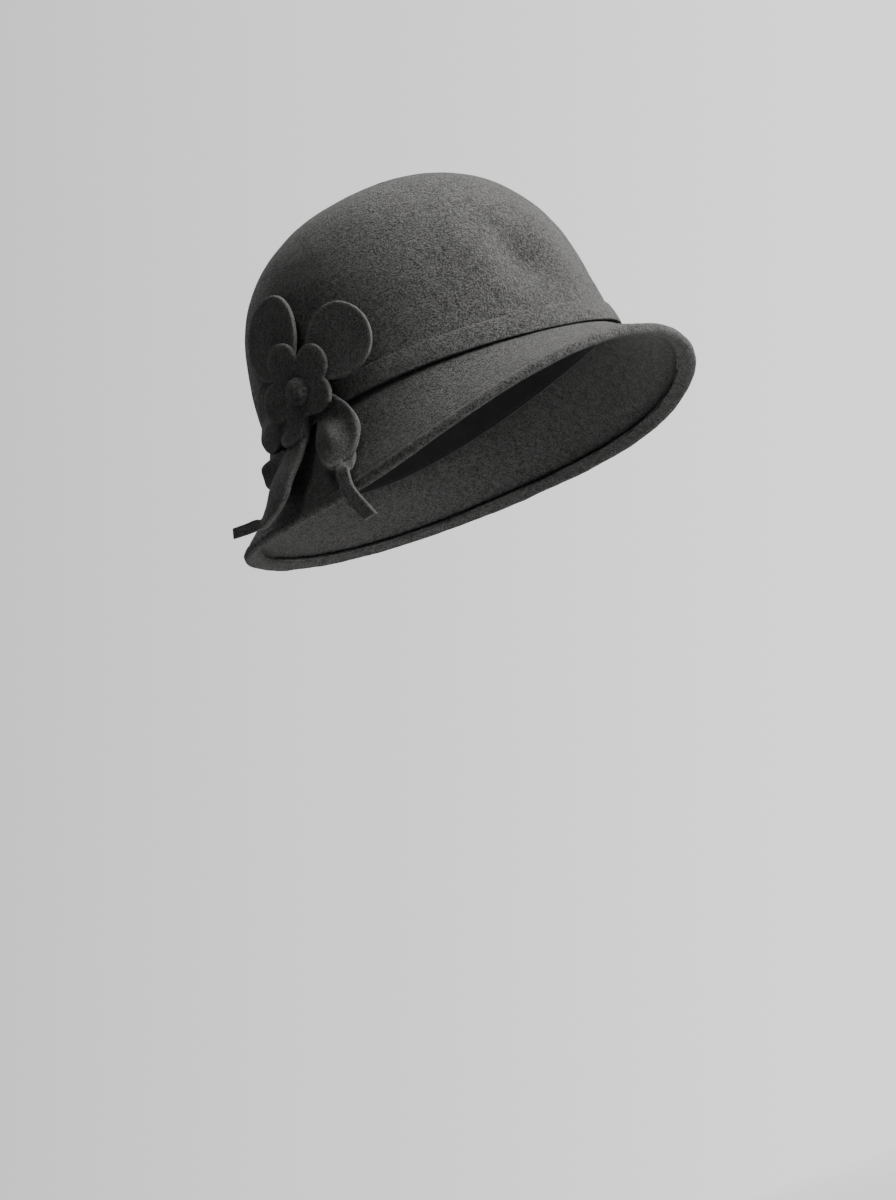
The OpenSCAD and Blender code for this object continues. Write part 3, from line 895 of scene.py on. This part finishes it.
def flower_tie():
    """The thread that ties the flower on, with its knot inside the crown."""
    around = full_turn(12)
    rows = np.linspace(0, 1, 25)
    length = BUTTON_BASE + FELT - 2.2
    a, u = around[None], rows[:, None]
    twist = 0.42 * (1 + 0.2 * np.cos(2 * a + 9 * u))
    stem = np.stack([twist * np.cos(a), twist * np.sin(a), u * length + 0 * a], -1)
    loft("flower_tie", on_flower(stem, -FELT), THREAD, "thread", stands_for=["trim_stitching"])
    loops = full_turn(60)
    line = np.stack([1.25 * np.cos(loops), 0.75 * np.sin(2 * loops),
                     0.12 * np.cos(3 * loops) - 0.05], -1)
    ahead = unit(np.roll(line, -1, 0) - np.roll(line, 1, 0))
    side = unit(np.cross(ahead, [0.0, 0.0, 1.0]))
    up = np.cross(ahead, side)
    tube = np.stack([line + 0.22 * (math.cos(q) * side + math.sin(q) * up) for q in around], 1)
    loft("flower_knot", on_flower(tube, -FELT - 0.05), THREAD, "thread", looped=True)


# ---- Leaves and tails ----

def strip(name, path, side, widths, thickness, nodes, bulge=0.0, slant=0.0):
    """A felt strip along a path, with side pointing across it. bulge raises its middle,
    and slant cuts its far end at an angle."""
    count = len(path)
    ahead = unit(np.gradient(path, axis=0))
    up = unit(np.cross(ahead, side))
    corner = 0.6
    half = np.asarray(widths)[:, None] / 2
    # cut paints the rounded edges, one face's border and both ends paler: partly felt fuzz, partly
    # a painted rim highlight.
    across, height, cut = [], [], []

    def add(x, y, mark):
        across.append(x)
        height.append(y)
        cut.append(mark)

    flat = np.linspace(-1, 1, 17)
    inner, outer, face = (half - corner)[:, 0], half[:, 0], thickness / 2
    quarter = np.radians([30, 60, 90])
    # Each side of the strip in turn: the face, then the rounded edge that follows it
    for way in (1, -1):
        for x in way * flat:
            shown = 0.5 if way == 1 and abs(x) == 1 else 0.0
            add(x * inner, way * face, shown)
        for a in quarter:
            add(way * (outer - corner * (1 - math.sin(a))),
                way * (face - corner * (1 - math.cos(a))), 1.0)
        for a in quarter[::-1]:
            add(way * (outer - corner * (1 - math.sin(a))),
                way * (corner * (1 - math.cos(a)) - face), 1.0)
    x = np.stack(across, 1)
    y = np.array(height)[None] + np.reshape(bulge, (-1, 1)) * (1 - (x / half) ** 2)
    shear = slant * smooth(np.arange(count) / (count - 1), 0.6, 1.0)[:, None] * x / half
    rings = (path[:, None] + x[..., None] * side[:, None] + y[..., None] * up[:, None]
             + shear[..., None] * ahead[:, None])
    ends = np.ones((count, 1)) * np.array(cut)[None]
    ends[[0, -1]] = 1.0
    piece = loft(name, rings, TRIM_FELT, "trim_felt", stands_for=nodes, ring_marks={"cut": ends},
                 body=None)
    seed = sum(ord(ch) for ch in name) % 50
    relief(piece, lambda p: 0.07 * rough(p, 5, seed) + 0.04 * rough(p, 2.0, seed + 1))
    return piece


def outward(t):
    """The level direction that points away from the hat at angle t."""
    return np.array([math.sin(t), -math.cos(t), 0.0])


# The loose tails' middle lines, as the CAD has them
FRONT_TAIL = [[-106.8, -40, -30], [-107.7, -39.5, -35], [-108.6, -40.5, -40.5],
              [-108.8, -43, -46.5], [-108.3, -45.5, -52], [-107.9, -48.5, -58]]
BACK_TAIL = [[-115, 14.5, -32.5], [-114, 25, -31], [-113, 36, -29.5], [-111.5, 48, -27.5],
             [-110, 61, -25]]
# The long leaf's front and back borders as [r, v, n]
LEAF_FRONT = [[-4, 2, 5], [-5, -8, 7], [-6, -16, 9], [-8, -24, 10], [-10, -34, 12],
              [-12, -43, 12], [-18, -49, 11], [-26, -51, 9], [-33, -50, 7]]
LEAF_BACK = [[-13, 3, 5], [-19, -5, 5], [-26, -10, 6], [-32, -16, 6], [-35, -23, 7],
             [-35, -30, 8], [-34, -36, 8], [-35, -41, 8], [-39, -44, 7]]
# The short leaf's outline as [r, v]
SHORT_LEAF = [[-33, -5], [-40, -2], [-49, -1], [-57, -3], [-60, -10], [-57, -17], [-50, -22],
              [-42, -26], [-36, -26], [-32, -16]]


def short_lift(r, v, share):
    """A rounded bulge that is low where the long leaf lies over it."""
    hump = 5.8 * bell((r + 51) / 9) * bell((v + 9.5) / 8)
    return 4.4 - PETAL_BASE - FELT + hump


def front_tail():
    """The loose front tail, with its root hidden beneath the hanging petal."""
    hidden = trim_point(*np.array([[18, -27, 1.9], [19.5, -34.5, 2.1], [20, -39.5, 4.3]]).T)
    path = curve(np.concatenate([hidden, FRONT_TAIL]), 12)
    ahead = unit(np.gradient(path, axis=0))
    side = unit(np.cross(outward(FLOWER_ANGLE + math.radians(18)), ahead))
    piece = strip("tail_front_felt", path, side, np.full(len(path), FRONT_TAIL_WIDTH),
                  TAIL_THICKNESS, ["tail_front"], slant=TAIL_SLANT)
    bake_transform(piece)


def long_leaf():
    """One strip of felt: a broad leaf that narrows and runs out into the loose back tail."""
    def border(stations, side):
        r, v, n = np.array(stations, float).T
        tail = np.array(BACK_TAIL[2:], float) + [0, 0, side * TAIL_WIDTH / 2]
        return curve(np.concatenate([trim_point(r, v, n), tail]), 12)

    front, back = border(LEAF_FRONT, -1), border(LEAF_BACK, 1)
    across = front - back
    path = (front + back) / 2
    up = unit(np.cross(np.gradient(path, axis=0), across))
    path = path - up * FELT / 2
    widths = np.linalg.norm(across, axis=1)
    bulge = 0.12 * np.maximum(0, widths - TAIL_WIDTH)
    piece = strip("leaf_and_back_tail", path, unit(across), widths, FELT,
                  ["leaf_twist", "tail_back"], bulge=bulge, slant=TAIL_SLANT)
    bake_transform(piece)


def leaves_and_tails():
    patch("leaf_short", "leaf_under", SHORT_LEAF, [-46, -14], short_lift)
    long_leaf()
    front_tail()


# ---- Camera, light and stage ----

def orbit(azimuth, elevation, distance):
    a, e = math.radians(azimuth), math.radians(elevation)
    return distance * Vector((math.sin(a) * math.cos(e), -math.cos(a) * math.cos(e),
                              math.sin(e)))


def camera():
    """Places the camera, and gives its right, up and near directions."""
    place = orbit(CAMERA_AZIMUTH, CAMERA_ELEVATION, CAMERA_DISTANCE)
    aim = Vector(CAMERA_AIM)
    roll = math.radians(CAMERA_ROLL)
    ahead = (aim - place).normalized()
    right = ahead.cross(Vector((0, 0, 1))).normalized()
    up = right.cross(ahead)
    up = math.cos(roll) * up + math.sin(roll) * right
    right = ahead.cross(up)
    data = bpy.data.cameras.new("camera")
    data.lens = CAMERA_LENS
    data.sensor_width = 36.0
    eye = bpy.data.objects.new("camera", data)
    bpy.context.scene.collection.objects.link(eye)
    turn = Matrix((right, up, -ahead)).transposed().to_4x4()
    eye.matrix_world = Matrix.Translation(place) @ turn
    bpy.context.scene.camera = eye
    return right, up, -ahead


def area_light(name, direction, distance, size, power):
    data = bpy.data.lights.new(name, "AREA")
    data.shape = "DISK"
    data.size = size
    data.energy = power
    lamp = bpy.data.objects.new(name, data)
    bpy.context.scene.collection.objects.link(lamp)
    way = direction.normalized()
    lamp.location = way * distance
    lamp.rotation_euler = way.to_track_quat("Z", "Y").to_euler()


def lights(right, up, near):
    area_light("key", 0.8 * right + 0.85 * up + 0.45 * near, 1.3, 0.9, 44.0)
    area_light("top", 0.1 * right + 1.0 * up - 0.4 * near, 1.3, 0.9, 14.0)
    area_light("fill", -0.45 * right + 0.9 * up + 0.45 * near, 1.6, 0.5, 4.0)
    area_light("back", -0.5 * right + 0.35 * up - 0.9 * near, 1.6, 0.9, 10.0)


def world(right):
    """A pale backdrop, a little darker at the left, that lights the hat only faintly."""
    sky = bpy.data.worlds.new("studio")
    bpy.context.scene.world = sky
    sky.use_nodes = True
    tree = sky.node_tree
    new, link = tree.nodes.new, tree.links.new
    place, side = new("ShaderNodeTexCoord"), new("ShaderNodeVectorMath")
    span = new("ShaderNodeMapRange")
    side.operation = "DOT_PRODUCT"
    side.inputs[1].default_value = right
    for key, value in (("From Min", -0.25), ("From Max", 0.25), ("To Min", 1.0), ("To Max", 2.1)):
        span.inputs[key].default_value = value
    seen = new("ShaderNodeBackground")
    lit = tree.nodes["Background"]
    lit.inputs["Color"].default_value = (1, 1, 1.01, 1)
    lit.inputs["Strength"].default_value = 0.125
    path, mixer = new("ShaderNodeLightPath"), new("ShaderNodeMixShader")
    link(place.outputs["Generated"], side.inputs[0])
    link(side.outputs["Value"], span.inputs["Value"])
    link(span.outputs[0], seen.inputs["Strength"])
    link(path.outputs["Is Camera Ray"], mixer.inputs[0])
    link(lit.outputs[0], mixer.inputs[1])
    link(seen.outputs[0], mixer.inputs[2])
    link(mixer.outputs[0], tree.nodes["World Output"].inputs[0])


def floor():
    """A pale paper floor that fades into the backdrop around its rim."""
    mesh = bpy.data.meshes.new("floor")
    ring = full_turn(96)
    corners = [(math.cos(a), math.sin(a), -0.5) for a in ring]
    mesh.from_pydata(corners, [], [list(range(len(corners)))])
    plane = bpy.data.objects.new("floor", mesh)
    bpy.context.scene.collection.objects.link(plane)
    n = Nodes("floor_paper")
    grain = n.noise(6.0, 4.0, 0.5)
    n.set(n.shader, "Base Color", n.mix(n.span(grain, 0.3, 0.7), (0.78,) * 3, (0.8,) * 3))
    n.set(n.shader, "Roughness", 0.9)
    away = n.add("ShaderNodeVectorMath", {0: n.place}, operation="LENGTH")
    fade = n.span(away.outputs["Value"], 0.62, 1.05, 1.0, 0.0)
    n.set(n.shader, "Alpha", fade)
    mesh.materials.append(n.material)


axes = camera()
lights(*axes)
world(axes[0])
floor()
crown()
brim()
hatband()
sweatband()
size_label()
stitches()
backing()
petals()
small_flower()
button()
flower_tie()
leaves_and_tails()
